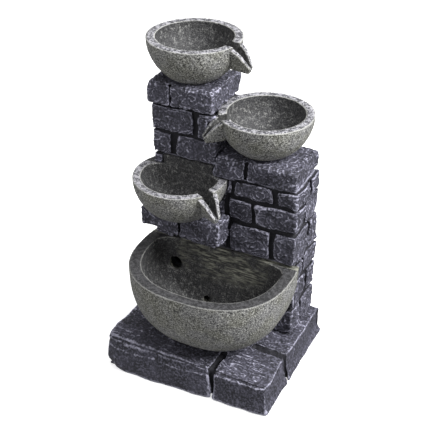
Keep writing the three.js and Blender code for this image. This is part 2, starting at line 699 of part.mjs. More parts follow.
// Impeller chamber with a spoked eye at the front, which holds the front bush, and an upright nozzle.
function pumpVolute() {
  const [y0, y1] = PUMP_Y.volute;
  const nozzleX = PUMP.x + NOZZLE.offsetX;
  const bushRadius = 2;
  const body = joined(
    rodAlongY(14.5, [y0, y1], PUMP.x, PUMP.axisZ, 28),
    chamferedBlock(PUMP_X, [y1 - 2, y1], [PUMP.bottom, PUMP.top - 4], 0.6),
    rodAlongZ(NOZZLE.radius, [PUMP.axisZ, NOZZLE.top], nozzleX, NOZZLE.y, 20),
  );
  const chamber = rodAlongY(11.5, [y0 + 1.8, y1 + PAST], PUMP.x, PUMP.axisZ, 28);
  const outlet = rodAlongZ(NOZZLE.bore, [PUMP.axisZ, NOZZLE.top + PAST], nozzleX, NOZZLE.y, 16);
  const eye = rodAlongY(7, [y0 - PAST, y0 + 3], PUMP.x, PUMP.axisZ, 20);
  let spider = rodAlongY(bushRadius + 1.2, [y0, y0 + 1.8], PUMP.x, PUMP.axisZ, 16);
  for (let i = 0; i < 3; i += 1) {
    const spoke = block([0, 8], [y0, y0 + 1.8], [-0.8, 0.8]).rotate([0, 90 + 120 * i, 0]);
    spider = spider.add(spoke.translate(PUMP.x, 0, PUMP.axisZ));
  }
  const bushSeat = rodAlongY(bushRadius + GAP, [y0 - PAST, y1], PUMP.x, PUMP.axisZ, 16);
  return joined(without(body, chamber, outlet, eye), spider).subtract(bushSeat);
}

const SLIDER = { y: [29.6, 36.4], height: 10, thickness: 1.4, travel: 9 };
const INTAKE = { z: [57, 65], y: [30.4, 35.6] };

// The intake strainer: a slotted box open at the back, with the flow slider's window in its left side.
function pumpStrainer() {
  const [y0, y1] = PUMP_Y.strainer;
  const z = [PUMP.bottom, PUMP.top - 4];
  const box = block(PUMP_X, [y0, y1], z);
  const inside = block([PUMP_X[0] + 1.6, PUMP_X[1] - 1.6], [y0 + 1.6, y1 + PAST], [z[0] + 1.6, z[1] - 1.6]);
  const slots = [-10, -5, 0, 5, 10].map((offset) =>
    block([PUMP.x + offset - 1.2, PUMP.x + offset + 1.2], [y0 - PAST, y0 + 2], [z[0] + 6, z[1] - 6]),
  );
  const window = block([PUMP_X[0] - PAST, PUMP_X[0] + 3], INTAKE.y, INTAKE.z);
  const railX = [PUMP_X[0] - SLIDER.thickness - GAP, PUMP_X[0] + 0.5];
  const rails = [
    block(railX, [SLIDER.y[0] - GAP - 1.2, SLIDER.y[0] - GAP], [54, 79]),
    block(railX, [SLIDER.y[1] + GAP, SLIDER.y[1] + GAP + 1.2], [54, 79]),
  ];
  return joined(without(box, inside, window, ...slots), ...rails);
}

// A plate that slides down over the window to throttle the flow, with a ridge for a fingernail.
function flowSlider() {
  const x = [PUMP_X[0] - GAP - SLIDER.thickness, PUMP_X[0] - GAP];
  const bottom = INTAKE.z[1] + 1;
  const plate = block(x, SLIDER.y, [bottom, bottom + SLIDER.height]);
  const middle = bottom + SLIDER.height / 2;
  const ridge = block([x[0] - 2, x[0] + 0.5], [SLIDER.y[0] + 1, SLIDER.y[1] - 1], [middle - 1, middle + 1]);
  return joined(plate, ridge);
}

function intakeSponge() {
  const clear = 1.6 + GAP;
  return block(
    [PUMP_X[0] + clear, PUMP_X[1] - clear],
    [PUMP_Y.strainer[0] + clear, PUMP_Y.strainer[1] - 0.5],
    [PUMP.bottom + clear, PUMP.top - 4 - clear],
  );
}

function suctionCup(x, y) {
  const floor = WELL.z[0] + WELL.wall + GAP;
  const profile = [
    [0, floor + 1.2],
    [3.4, floor + 0.6],
    [4.8, floor],
    [5.2, floor],
    [3.2, floor + 2.2],
    [2, floor + 2.8],
    [2, PUMP.bottom - GAP],
    [0, PUMP.bottom - GAP],
  ];
  return turned(profile, 16).translate(x, y, 0);
}

// ---- assembly -----------------------------------------------------------------------------------------

function finish(color, roughness, metalness = 0) {
  return new THREE.MeshStandardMaterial({ color, roughness, metalness });
}

const STONE = finish(0x4a4a55, 0.85);
const BOWL = finish(0x6a6b62, 0.8);
const TUB_PLASTIC = finish(0x33353a, 0.6);
const COVER_RESIN = finish(0x44444e, 0.85);
const PUMP_PLASTIC = finish(0x1c1d20, 0.45);
const IMPELLER_PLASTIC = finish(0xd8d8d0, 0.4);
const FERRITE = finish(0x2a2a2c, 0.5, 0.2);
const IRON = finish(0x8a8c90, 0.4, 0.9);
const COPPER = finish(0xa5602f, 0.35, 0.9);
const STEEL = finish(0xb4b7bb, 0.3, 1);
const CERAMIC = finish(0xe8e6df, 0.3);
const RUBBER = finish(0x1a1a1b, 0.9);
const HOSE_VINYL = finish(0xc9d2cf, 0.25);
const FOAM = finish(0x2b2c2e, 1);

const fountain = new THREE.Group();

function addPiece(name, body, material) {
  const mesh = new THREE.Mesh(geometryOf(body), material);
  mesh.name = name;
  fountain.add(mesh);
}

addPiece('base_slab', baseSlab(), STONE);
for (const [row, y] of [['front', -FOOT.y], ['rear', FOOT.y]]) {
  for (const [side, x] of [['left', -FOOT.x], ['right', FOOT.x]]) {
    addPiece(`foot_pad_${row}_${side}`, rodAlongZ(FOOT.radius, [0, FOOT.thickness], x, y, 24), RUBBER);
  }
}
addPiece('tower_shell', towerShell(), STONE);
addPiece('column_shell', columnShell(), STONE);
addPiece('top_capstone', capstone(TOP_CAP, inletPassage(NIPPLE.radius + 1.2 + GAP)), STONE);
addPiece('right_capstone', capstone(RIGHT_CAP), STONE);
addPiece('ledge_capstone', capstone(LEDGE_CAP), STONE);

addPiece('top_bowl', bowlSolid(TOP_BOWL).subtract(inletPassage(NIPPLE.radius + 1.2 + GAP)), BOWL);
addPiece('right_bowl', bowlSolid(RIGHT_BOWL), BOWL);
addPiece('left_bowl', leftBowlSolid(), BOWL);
addPiece('lower_basin', basinSolid(), BOWL);

addPiece('pump_well', pumpWell(), TUB_PLASTIC);
addPiece('inlet_nipple', inletNipple(), PUMP_PLASTIC);
addPiece('riser_hose', riserHose(), HOSE_VINYL);

addPiece('rear_cover', rearCover(), COVER_RESIN);
addPiece('cable_grommet', cableGrommet(), RUBBER);
for (const place of coverScrewPlaces()) addPiece(place.name, coverScrew(place), STEEL);

addPiece('pump_housing', pumpHousing(), PUMP_PLASTIC);
addPiece('pump_back_cap', pumpBackCap(), PUMP_PLASTIC);
addPiece('stator_core', statorCore(), IRON);
addPiece('stator_coil', statorCoil(), COPPER);
addPiece('rotor_magnet', rotorMagnet(), FERRITE);
addPiece('impeller', impeller(), IMPELLER_PLASTIC);
addPiece('rotor_shaft', rotorShaft(), CERAMIC);
addPiece('front_bush', shaftBush([38.8, 40.6], 2), RUBBER);
addPiece('rear_bush', shaftBush([63.9, 64.5], 4.8), RUBBER);
addPiece('pump_volute', pumpVolute(), PUMP_PLASTIC);
addPiece('pump_strainer', pumpStrainer(), PUMP_PLASTIC);
addPiece('flow_slider', flowSlider(), PUMP_PLASTIC);
addPiece('intake_sponge', intakeSponge(), FOAM);
for (const [row, y] of [['front', 51], ['rear', 64]]) {
  for (const [side, x] of [['left', PUMP.x - 11], ['right', PUMP.x + 11]]) {
    addPiece(`suction_cup_${row}_${side}`, suctionCup(x, y), RUBBER);
  }
}

// The bowls overhang the base at the left and at the back, and the basin overhangs it at the front.
const leftmost = TOP_BOWL.x - TOP_BOWL.radius;
const frontmost = BASIN.y - BASIN.halfY;
const backmost = RIGHT_BOWL.y + RIGHT_BOWL.radius;
fountain.position.set(-(leftmost + BASE.halfX) / 2, -(frontmost + backmost) / 2, 0);

export default fountain;
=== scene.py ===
"""Looks of the four-tier tabletop fountain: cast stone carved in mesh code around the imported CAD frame."""
import json
import math

import bpy
import numpy as np
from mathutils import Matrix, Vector


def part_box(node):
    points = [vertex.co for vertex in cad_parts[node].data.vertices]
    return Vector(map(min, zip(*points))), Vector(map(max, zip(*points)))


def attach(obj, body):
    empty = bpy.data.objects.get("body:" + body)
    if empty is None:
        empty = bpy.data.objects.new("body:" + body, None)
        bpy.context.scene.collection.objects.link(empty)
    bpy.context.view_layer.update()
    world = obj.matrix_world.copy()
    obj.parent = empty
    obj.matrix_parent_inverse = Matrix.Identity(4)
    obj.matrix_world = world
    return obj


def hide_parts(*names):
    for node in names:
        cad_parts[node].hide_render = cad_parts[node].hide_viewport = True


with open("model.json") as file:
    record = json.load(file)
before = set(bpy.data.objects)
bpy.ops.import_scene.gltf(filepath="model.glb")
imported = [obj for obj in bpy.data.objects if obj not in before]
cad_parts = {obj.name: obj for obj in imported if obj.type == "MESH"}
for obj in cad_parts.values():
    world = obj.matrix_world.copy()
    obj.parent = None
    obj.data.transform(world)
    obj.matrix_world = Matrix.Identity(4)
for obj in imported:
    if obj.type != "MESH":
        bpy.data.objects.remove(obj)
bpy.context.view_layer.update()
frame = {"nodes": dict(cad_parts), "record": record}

MM = 0.001
COARSER = 1.0


# ---- meshes as arrays -----------------------------------------------------------------------------

def box_of(node):
    """A CAD node's lowest and highest corners, in millimetres."""
    return [np.array(corner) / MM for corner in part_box(node)]


def apply_modifiers(piece):
    """Gives a piece the mesh that its modifiers make, and takes them off."""
    graph = bpy.context.evaluated_depsgraph_get()
    mesh = bpy.data.meshes.new_from_object(piece.evaluated_get(graph))
    piece.modifiers.clear()
    piece.data = mesh


def fine_copy(name, node, voxel):
    """A new piece with a CAD node's shape in small even faces. The voxel is in millimetres."""
    piece = bpy.data.objects.new(name, frame["nodes"][node].data.copy())
    bpy.context.scene.collection.objects.link(piece)
    remesh = piece.modifiers.new("small_faces", "REMESH")
    remesh.mode = "VOXEL"
    remesh.voxel_size = voxel * COARSER * MM
    apply_modifiers(piece)
    piece.data.materials.clear()
    piece.data.name = name
    return piece


class Skin:
    """The points of a piece's mesh in millimetres, with its edges, for shaping in numpy."""

    def __init__(self, piece):
        self.mesh = piece.data
        count = len(self.mesh.vertices)
        flat = np.empty(count * 3, np.float32)
        self.mesh.vertices.foreach_get("co", flat)
        self.points = flat.reshape(-1, 3).astype(float) / MM
        edges = np.empty(len(self.mesh.edges) * 2, np.int32)
        self.mesh.edges.foreach_get("vertices", edges)
        self.a, self.b = edges.reshape(-1, 2).T
        self.neighbours = np.bincount(self.a, minlength=count) + np.bincount(self.b, minlength=count)
        self.neighbours = np.maximum(self.neighbours, 1)

    def smooth(self, values, rounds, amount=0.6):
        """Values, one or several for each point, drawn towards their neighbours' mean."""
        columns = values.reshape(len(values), -1).T.copy()
        for _ in range(rounds):
            for k, column in enumerate(columns):
                total = np.bincount(self.a, column[self.b], len(column))
                total += np.bincount(self.b, column[self.a], len(column))
                columns[k] = column + amount * (total / self.neighbours - column)
        return columns.T.reshape(values.shape)

    def normals(self):
        """The direction that each point faces. It stores the points first."""
        self.store()
        flat = np.empty(len(self.points) * 3, np.float32)
        self.mesh.vertex_normals.foreach_get("vector", flat)
        return flat.reshape(-1, 3).astype(float)

    def store(self):
        """Puts the points back into the mesh."""
        self.mesh.vertices.foreach_set("co", (self.points * MM).astype(np.float32).ravel())
        self.mesh.update()

    def note(self, name, values):
        """Keeps one number for each point, for the material to read."""
        attribute = self.mesh.attributes.new(name, "FLOAT", "POINT")
        attribute.data.foreach_set("value", np.broadcast_to(values, len(self.points)).astype(np.float32))

    def islands(self, chosen):
        """A number for each group of chosen points that hang together, and -1 for the others."""
        both = chosen[self.a] & chosen[self.b]
        a, b = self.a[both], self.b[both]
        label = np.arange(len(chosen))
        while True:
            lowest = np.minimum(label[a], label[b])
            new = label.copy()
            np.minimum.at(new, a, lowest)
            np.minimum.at(new, b, lowest)
            new = new[new]
            if (new == label).all():
                break
            label = new
        numbers = np.unique(label[chosen], return_inverse=True)[1]
        result = np.full(len(chosen), -1)
        result[chosen] = numbers
        return result

    def relief(self, rounds, normals):
        """How far each point stands out of the smoothed surface, in millimetres."""
        return ((self.points - self.smooth(self.points, rounds)) * normals).sum(1)


def step(values, low, high):
    """From 0 at low to 1 at high, with soft ends."""
    t = np.clip((values - low) / (high - low), 0, 1)
    return t * t * (3 - 2 * t)


# ---- noise ----------------------------------------------------------------------------------------

LATTICE = 32
LUMP_GAIN = 1.6


def lumps(points, size, seed):
    """Gradient noise from about -1 to 1, with lumps of a size in millimetres."""
    gradients = np.random.default_rng(seed).normal(size=(LATTICE, LATTICE, LATTICE, 3))
    gradients /= np.linalg.norm(gradients, axis=3, keepdims=True)
    at = points / size
    cell = np.floor(at).astype(int)
    part = at - cell
    fade = part * part * part * (part * (part * 6 - 15) + 10)
    total = np.zeros(len(points))
    for corner in np.ndindex(2, 2, 2):
        offset = np.array(corner)
        i, j, k = ((cell + offset) % LATTICE).T
        slope = (gradients[i, j, k] * (part - offset)).sum(1)
        total += np.where(offset, fade, 1 - fade).prod(1) * slope
    return total * LUMP_GAIN


def fractal(points, size, octaves, seed):
    """Lumps with smaller and weaker lumps on them."""
    return sum(lumps(points, size / 2**k, seed + k) / 2**k for k in range(octaves))


def ridges(level):
    """Thin ridges from 0 to 1 where a level is a whole number, as a comb leaves in wet clay."""
    return (1 - np.abs(np.sin(np.pi * level)) ** 0.8) ** 1.5


def terraces(values, steepness):
    """Values pressed into flat treads with short risers between them."""
    whole = np.floor(values)
    return whole + step(values - whole, steepness, 1)


# ---- stonework ------------------------------------------------------------------------------------

# How high or deep each part of a stone's relief is, in millimetres.
DRIFT, BULGE, COMBING, LEDGES, SPECKLE = 1.9, 0.9, 0.8, 1.3, 0.28
WORN_EDGE, JOINT_DEPTH, JOINT_ROUGHNESS, JOINT_FILL = 2.0, 2.6, 0.5, 1.5

# The noises of that relief: size in millimetres, octaves, and what is added to the stonework's seed.
NOISES = {
    "bulge": (26, 2, 20),
    "rings": (22, 2, 30),
    "combing": (20, 1, 33),
    "speckle": (4.5, 2, 50),
    "ledges": (15, 3, 60),
    "joint": (5, 1, 70),
    "edge": (8, 2, 80),
    "patches": (7, 1, 90),
}
DRIFT_SIZE, DRIFT_SEED = 24, 11

# Each stone reads the noise at a place of its own, leans a little and stands out more or less.
STONE_SHIFT, STONE_TILT, STONE_RISE = 400, 0.022, (-0.9, 0.5)

# Tool lines follow a level that grows from a stone's outline inwards and wanders with the noise.
LEVELS, RING_ROUNDS = 3.7, 60
LEDGE_COUNT, LEDGE_STEEPNESS = 1.9, 0.82

# The floor that all the stonework stays above, in millimetres.
LOWEST = 0.4


def stone_numbers(skin, low, high, depth, top_too):
    """Each point's stone, how far out of the joints it stands from 0 to 1, and the sides that it is on."""
    middle, half = (low + high) / 2, (high - low) / 2 - depth
    out = np.abs(skin.points - middle) - half
    proud = np.maximum(out[:, 0], out[:, 1])
    if top_too:
        proud = np.maximum(proud, skin.points[:, 2] - (high[2] - depth))
    return skin.islands(proud > 0.45 * depth), step(proud, 0.35 * depth, 0.8 * depth), out > 0


def lay_out(number, points, seed):
    """Each point's tone, shift, tilt, rise and middle, from its stone. The last row is for the joints."""
    stones = number.max() + 1
    nothing = np.zeros((1, 3))
    dice = np.random.default_rng(seed)
    tone = np.append(dice.uniform(0, 1, stones), 0.5)
    shift = np.append(dice.uniform(-STONE_SHIFT, STONE_SHIFT, (stones, 3)), nothing, axis=0)
    tilt = np.append(dice.normal(0, STONE_TILT, (stones, 3)), nothing, axis=0)
    rise = np.append(dice.uniform(*STONE_RISE, stones), 0)
    middles = np.array([points[number == k].mean(0) for k in range(stones)] + [np.zeros(3)])
    return [row[number] for row in (tone, shift, tilt, rise, middles)]


def carve(
    piece, node, seed, depth=3.0, top_too=False, rounding=5, combed=1.0, swell=0.0,
    along=None, lean=None, hidden=None,
):
    """Turns a piece's plain blocks into hand-carved stones and notes where paint would catch and where shade
    is painted into joints and hollows.

    depth is the joints' depth in the CAD node, along stretches the tool lines, lean adds to a slab's
    sides, and hidden marks the points that stay as they are.
    """
    skin = Skin(piece)
    low, high = box_of(node)
    number, proud, sides = stone_numbers(skin, low, high, depth, top_too)
    shown = np.ones(len(proud)) if hidden is None else 1 - hidden(skin.points)
    skin.points = skin.smooth(skin.points, rounding)
    tone, shift, tilt, rise, middles = lay_out(number, skin.points, seed)

    drift = np.stack([lumps(skin.points, DRIFT_SIZE, seed + DRIFT_SEED + k) for k in range(3)], axis=1)
    drift[:, 2] *= lean is None
    skin.points += drift * DRIFT * shown[:, None]
    normals = skin.normals()
    own = skin.points + shift
    grain = own if along is None else own / np.array(along)

    def noise(kind, points):
        size, octaves, offset = NOISES[kind]
        return fractal(points, size, octaves, seed + offset)

    inward = skin.smooth(proud, RING_ROUNDS)
    wander, rings = (0.6, 1.3) if lean is None else (1.0, 0.9)
    level = LEVELS * (wander * noise("rings", grain) + rings * inward)
    edge = 1 - step(inward + 0.16 * noise("edge", own), 0.32, 0.74)
    calm = combed if lean is None else combed * (0.45 + 0.55 * step(normals[:, 2], 0.3, 0.7))

    height = rise + ((skin.points - middles) * tilt).sum(1)
    height += BULGE * noise("bulge", own) - WORN_EDGE * edge
    height += COMBING * calm * ridges(level) * (0.3 + 0.7 * step(noise("combing", own), -0.4, 0.3))
    height += LEDGES * calm * terraces(noise("ledges", grain) * LEDGE_COUNT, LEDGE_STEEPNESS) / LEDGE_COUNT
    height += SPECKLE * noise("speckle", own)
    if lean is not None:
        height *= 0.25 + 0.75 * step(skin.points[:, 2] - low[2], 0, 12)
        height += lean(skin.points, normals)
    height += swell
    joint_floor = -JOINT_DEPTH - JOINT_ROUGHNESS * noise("joint", skin.points)
    height = height * proud + joint_floor * (1 - proud)
    if not top_too:
        flank = 1 - np.sqrt(((normals * sides) ** 2).sum(1))
        height += JOINT_FILL * step(flank, 0.25, 0.7) * step(proud, 0.1, 0.6)
    skin.points += normals * (height * shown)[:, None]
    skin.points = skin.smooth(skin.points, 1, 0.25)
    skin.points[:, 2] = np.maximum(skin.points[:, 2], LOWEST)

    normals = skin.normals()
    fine, broad = skin.relief(2, normals), skin.relief(16, normals)
    worn = np.clip(fine / 0.17 + broad / 11.0 - 0.1, 0, 1.05)
    patchy = 0.8 + 0.2 * step(noise("patches", own), -0.3, 0.2)
    skin.note("worn", skin.smooth(worn, 1, 0.5) * patchy)
    skin.note("level", level)
    skin.note("lined", 0.60 if lean is None else 0.26 + 0.36 * step(normals[:, 2], 0.4, 0.7))
    # Painted shade: hollows below the smoothed surface and the joints are marked for darkening. The joints
    # are partly their own dark colour, partly painted shade.
    skin.note("hollow", np.clip(step(-broad, 0.2, 1.2) + 0.9 * (1 - proud) * shown, 0, 1))
    skin.note("tone", tone if lean is None else 0)


def sides_out(points, node, wall):
    """How far points are outside a box that is smaller than a CAD node's by a wall, seen from above."""
    low, high = box_of(node)
    middle, half = (low + high) / 2, (high - low) / 2 - wall
    out = np.abs(points - middle) - half
    return np.maximum(out[:, 0], out[:, 1])


def inside_shell(node, wall):
    """Marks the points inside a hollow stone shell, so that only its outside is carved."""
    return lambda points: 1 - step(sides_out(points, node, wall), 0, 1.5)


def thin_out(piece, hidden, keep=0.06):
    """Fewer faces where a shell's inside can't be seen."""
    skin = Skin(piece)
    share = hidden(skin.points) > 0.5
    group = piece.vertex_groups.new(name="inside")
    group.add(np.flatnonzero(share).tolist(), 1.0, "REPLACE")
    thinner = piece.modifiers.new("thinner", "DECIMATE")
    thinner.ratio = 1 - share.mean() * (1 - keep)
    thinner.vertex_group = "inside"
    thinner.vertex_group_factor = 10
    apply_modifiers(piece)
    piece.vertex_groups.clear()


def put(piece, body, slot, material, *nodes):
    """Finishes a piece: its material, the CAD nodes that it stands for and the body that it rides on."""
    piece.data.materials.clear()
    piece.data.materials.append(material)
    piece.data.polygons.foreach_set("use_smooth", [True] * len(piece.data.polygons))
    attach(piece, body)
    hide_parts(*nodes)


# ---- bowls ----------------------------------------------------------------------------------------

# The spout's V channel in millimetres: where it starts and ends along its length, and at those two
# places its floor, its top and half its width at both. reach is half the spout's own width and more.
SPOUT = {
    "root": 37,
    "tip": 78,
    "floor": (-15, -27.5),
    "top": (12, -12),
    "floor_half": (2.5, 0.8),
    "top_half": (11, 4.2),
    "reach": 18,
}
LIP_START = 8
ON_CURVE = 1.2
PIT_DEPTH, DENT_DEPTH = 0.35, 0.35
GRAINS = ((0.22, 2.6), (0.16, 6))
HOLE_PUSH, HOLE_REACH = 0.8, (8, 13)
# The radii between which the inside of the hole gets painted shade.
HOLE_SHADE_RADII = (8.5, 10)


def round_measure(points, half_x, half_y, depth, plan, profile):
    """1 on a bowl's true surface around the middle of its rim, less inside it and more outside."""
    reach = np.abs(points[:, 0] / half_x) ** plan + np.abs(points[:, 1] / half_y) ** plan
    return (reach ** (profile / plan) + np.abs(points[:, 2] / depth) ** profile) ** (1 / profile)


def spout_axes(points, turn):
    """How far points are along the spout and across it. turn is the spout's direction in degrees."""
    angle = math.radians(turn)
    along = points[:, 0] * math.cos(angle) + points[:, 1] * math.sin(angle)
    across = -points[:, 0] * math.sin(angle) + points[:, 1] * math.cos(angle)
    return along, across


def channel_share(points, turn):
    """1 where a point is in the spout's V channel."""
    along, across = spout_axes(points, turn)
    t = np.clip((along - SPOUT["root"]) / (SPOUT["tip"] - SPOUT["root"]), 0, 1)

    def between(pair):
        return pair[0] + (pair[1] - pair[0]) * t

    floor, top = between(SPOUT["floor"]), between(SPOUT["top"])
    narrow, wide = between(SPOUT["floor_half"]), between(SPOUT["top_half"])
    up = (points[:, 2] - floor) / (top - floor)
    half = narrow + (wide - narrow) * up
    inside = (np.abs(across) < half + 0.5) & (up > -0.08) & (along > SPOUT["root"])
    return inside.astype(float)


def lip_share(points, turn):
    """1 on the spout, past the bowl's own rim."""
    along, across = spout_axes(points, turn)
    start = SPOUT["root"] + LIP_START
    return step(along, start, start + 3) * (np.abs(across) < SPOUT["reach"])


def round_off(skin, points, outer, inner, back):
    """Points drawn onto the bowl's true curves, and how far each is inside the hollow, from 0 to 1."""
    behind = points[:, 1] > 0 if back is not None else np.zeros(len(points), bool)
    below = points[:, 2] < 0.2
    measure = round_measure(points, *outer)
    near = (np.abs(measure - 1) * min(outer[:2]) < ON_CURVE) & below
    points[near] /= measure[near, None]

    measure = round_measure(points, *inner)
    if back is not None:
        measure[behind] = round_measure(points[behind], *back)
    near = (np.abs(measure - 1) * min(inner[:2]) < ON_CURVE) & below & ~behind
    points[near] /= measure[near, None]
    if back is not None:
        even = skin.smooth(points, 8)
        share = (step(points[:, 1], 2, 8) * step(-points[:, 2], 4, 8))[:, None]
        points = points + (even - points) * share
    return points, step(-measure, -1.035, -1.012)


def weather_bowl(
    piece, middle, outer, inner, seed, turn=None, back=None, wall=None, rim_shade=0.0, hole=None,
):
    """Rounds a bowl off to its true curves, gives it its grain and notes its rim, inside, edges and painted
    shade.

    middle is the middle of the rim. outer, inner and back are round_measure's shapes, back being the
    hollow's rear half. wall is where the rear wall starts, and hole is the round hole's x and z in it.
    """
    skin = Skin(piece)
    skin.points = skin.smooth(skin.points, 3, 0.5)
    points, inside = round_off(skin, skin.points - middle, outer, inner, back)
    channel = np.zeros(len(points))
    if turn is not None:
        # The spout's channel is given the darker inside paint and painted shade.
        channel = skin.smooth(channel_share(points, turn), 2)
        inside = np.maximum(inside, channel)
    skin.points = points + middle
    normals = skin.normals()
    rim = step(points[:, 2], -1.6, -0.5) * step(normals[:, 2], 0.55, 0.85)
    if turn is not None:
        rim = np.maximum(rim, lip_share(points, turn) * step(normals[:, 2], 0.2, 0.5))
    if wall is not None:
        behind_rim = step(skin.points[:, 1], wall - 3, wall - 1.5)
        rim *= 1 - behind_rim
        inside = np.maximum(inside, behind_rim)
    if hole is not None:
        aside = skin.points[:, [0, 2]] - hole
        far = np.hypot(*aside.T)
        near_hole = step(-far, -HOLE_REACH[1], -HOLE_REACH[0])
        at_back = step(skin.points[:, 1], wall - 6, wall - 3)
        push = HOLE_PUSH * near_hole * at_back / np.maximum(far, 1)
        skin.points[:, [0, 2]] += aside * push[:, None]

    own = skin.points
    height = sum(depth * lumps(own, size, seed + k) for k, (depth, size) in enumerate(GRAINS))
    height -= PIT_DEPTH * step(lumps(own, 3.4, seed + 2), 0.45, 0.8)
    height += DENT_DEPTH * lumps(own, 32, seed + 3)
    height *= 1 - 0.55 * rim
    skin.points += normals * height[:, None]

    normals = skin.normals()
    fine, broad = skin.relief(3, normals), skin.relief(14, normals)
    at_wall = np.zeros(len(own)) if wall is None else step(own[:, 1], wall - 3.5, wall - 0.5)
    # Painted shade: the rim darkened by rim_shade, the spout's channel and, below, the inside of the hole.
    painted_shade = np.maximum(rim * rim_shade, 0.96 * channel * (1 - rim))
    if hole is not None:
        hole_shade = step(-far, -HOLE_SHADE_RADII[1], -HOLE_SHADE_RADII[0]) * step(own[:, 1], wall + 0.6, wall + 1.6)
        painted_shade = np.maximum(painted_shade, 0.95 * hole_shade)
    skin.note("worn", np.clip(fine / 0.30 + broad / 1.0 - 0.15, 0, 1.5) * (1 - at_wall))
    # Painted shade: hollows below the smoothed surface are marked for darkening.
    skin.note("hollow", step(-broad, 0.1, 0.7))
    skin.note("rim", rim)
    skin.note("inside", np.clip(inside, 0, 1) * (1 - rim))
    skin.note("painted_shade", painted_shade)
    skin.note("wall", 0 if hole is None else at_wall)


# ---- materials ------------------------------------------------------------------------------------

class Paint:
    """A material's nodes, with short calls for the few kinds that are used here."""

    def __init__(self, name):
        self.material = bpy.data.materials.new(name)
        self.material.use_nodes = True
        self.nodes = self.material.node_tree.nodes
        self.links = self.material.node_tree.links
        self.shader = self.nodes["Principled BSDF"]
        place = self.make("TexCoord").outputs["Object"]
        self.place = self.make("Mapping", {"Vector": place, "Scale": [1 / MM] * 3}).outputs["Vector"]

    def make(self, kind, inputs=None, **settings):
        node = self.nodes.new("ShaderNode" + kind)
        for name, value in settings.items():
            setattr(node, name, value)
        for name, value in (inputs or {}).items():
            self.feed(node.inputs[name], value)
        return node

    def feed(self, socket, value):
        """Links a socket to an output, or gives it a constant."""
        if isinstance(value, bpy.types.NodeSocket):
            self.links.new(value, socket)
        else:
            socket.default_value = value

    def note(self, name):
        """A number that the mesh keeps for each point."""
        return self.make("Attribute", attribute_name=name).outputs["Fac"]

    def noise(self, size, detail=3, twist=0.0, place=None, kind="FBM"):
        inputs = {"Vector": place or self.place, "Scale": 1 / size, "Detail": detail, "Distortion": twist}
        return self.make("TexNoise", inputs, noise_type=kind).outputs["Fac"]

    def math(self, operation, a, b=0.0):
        node = self.make("Math", operation=operation)
        for socket, value in zip(node.inputs, (a, b)):
            self.feed(socket, value)
        return node.outputs[0]

    def add(self, a, b):
        return self.math("ADD", a, b)

    def times(self, a, b):
        return self.math("MULTIPLY", a, b)

    def around_zero(self, noise, strength):
        """A noise moved from around a half to around zero, and made stronger."""
        return self.times(self.math("SUBTRACT", noise, 0.5), strength)

    def ramp(self, value, low, high, start=0.0, end=1.0):
        inputs = {"Value": value, "From Min": low, "From Max": high, "To Min": start, "To Max": end}
        return self.make("MapRange", inputs, interpolation_type="SMOOTHSTEP").outputs["Result"]

    def mix(self, share, a, b):
        def colour(value):
            return (*value, 1) if isinstance(value, tuple) else value

        inputs = {"Fac": share, "Color1": colour(a), "Color2": colour(b)}
        return self.make("MixRGB", inputs).outputs["Color"]

    def finish(self, colour, roughness, bumps, **values):
        """bumps are pairs of a height and its depth in millimetres, the largest first."""
        self.feed(self.shader.inputs["Base Color"], colour)
        self.feed(self.shader.inputs["Roughness"], roughness)
        normal = None
        for height, depth in bumps:
            inputs = {"Height": height, "Distance": depth * MM, "Strength": 1.0}
            if normal is not None:
                inputs["Normal"] = normal
            normal = self.make("Bump", inputs).outputs["Normal"]
        self.feed(self.shader.inputs["Normal"], normal)
        for name, value in values.items():
            self.feed(self.shader.inputs[name.replace("_", " ").title()], value)
        return self.material


SLATE_BLACK, SLATE_DARK, SLATE_GREY = (0.017, 0.017, 0.024), (0.042, 0.041, 0.058), (0.110, 0.108, 0.146)
SLATE_TINT, LAVENDER, SLATE_JOINT_AND_HOLLOW_SHADE = (0.055, 0.055, 0.074), (0.48, 0.475, 0.595), (0.006, 0.006, 0.009)


def slate_paint():
    """Dark blue-grey stone with pale lavender paint dry-brushed over whatever stands out. Joints and hollows
    go near black: the joints' dark colour and painted shade.
    """
    p = Paint("dry_brushed_slate")
    broad = p.noise(17, 3)
    mottle = p.noise(2.6, 5)
    grit = p.noise(0.9, 3)
    streak = p.noise(5.5, 3, 0.4, kind="RIDGED_MULTIFRACTAL")
    turns = p.times(p.add(p.note("level"), p.around_zero(p.noise(5, 3), 1.5)), math.pi)
    line = p.ramp(p.math("ABSOLUTE", p.math("SINE", turns)), 0.1, 0.6, 1.0, 0.0)

    dark = p.mix(p.ramp(broad, 0.35, 0.68), SLATE_BLACK, SLATE_DARK)
    dark = p.mix(p.times(p.note("tone"), 0.35), dark, SLATE_TINT)
    body = p.mix(p.ramp(mottle, 0.42, 0.66), dark, SLATE_GREY)

    scratch = p.times(line, p.add(p.times(p.ramp(broad, 0.38, 0.6), 0.6), 0.4))
    catch = p.add(p.note("worn"), p.around_zero(mottle, 1.2))
    catch = p.add(catch, p.times(scratch, p.note("lined")))
    catch = p.add(catch, p.times(p.ramp(streak, 0.9, 1.7), 0.12))
    painted = p.mix(p.times(p.ramp(catch, 0.36, 1.28), 0.85), body, LAVENDER)
    # Painted shade: joints and hollows darkened towards near black, partly the joints' own dark colour.
    colour = p.mix(p.times(p.note("hollow"), 0.88), painted, SLATE_JOINT_AND_HOLLOW_SHADE)
    rough = p.ramp(mottle, 0.3, 0.7, 0.62, 0.9)
    return p.finish(colour, rough, [(line, 0.25), (streak, 0.18), (mottle, 0.9), (grit, 0.25)])


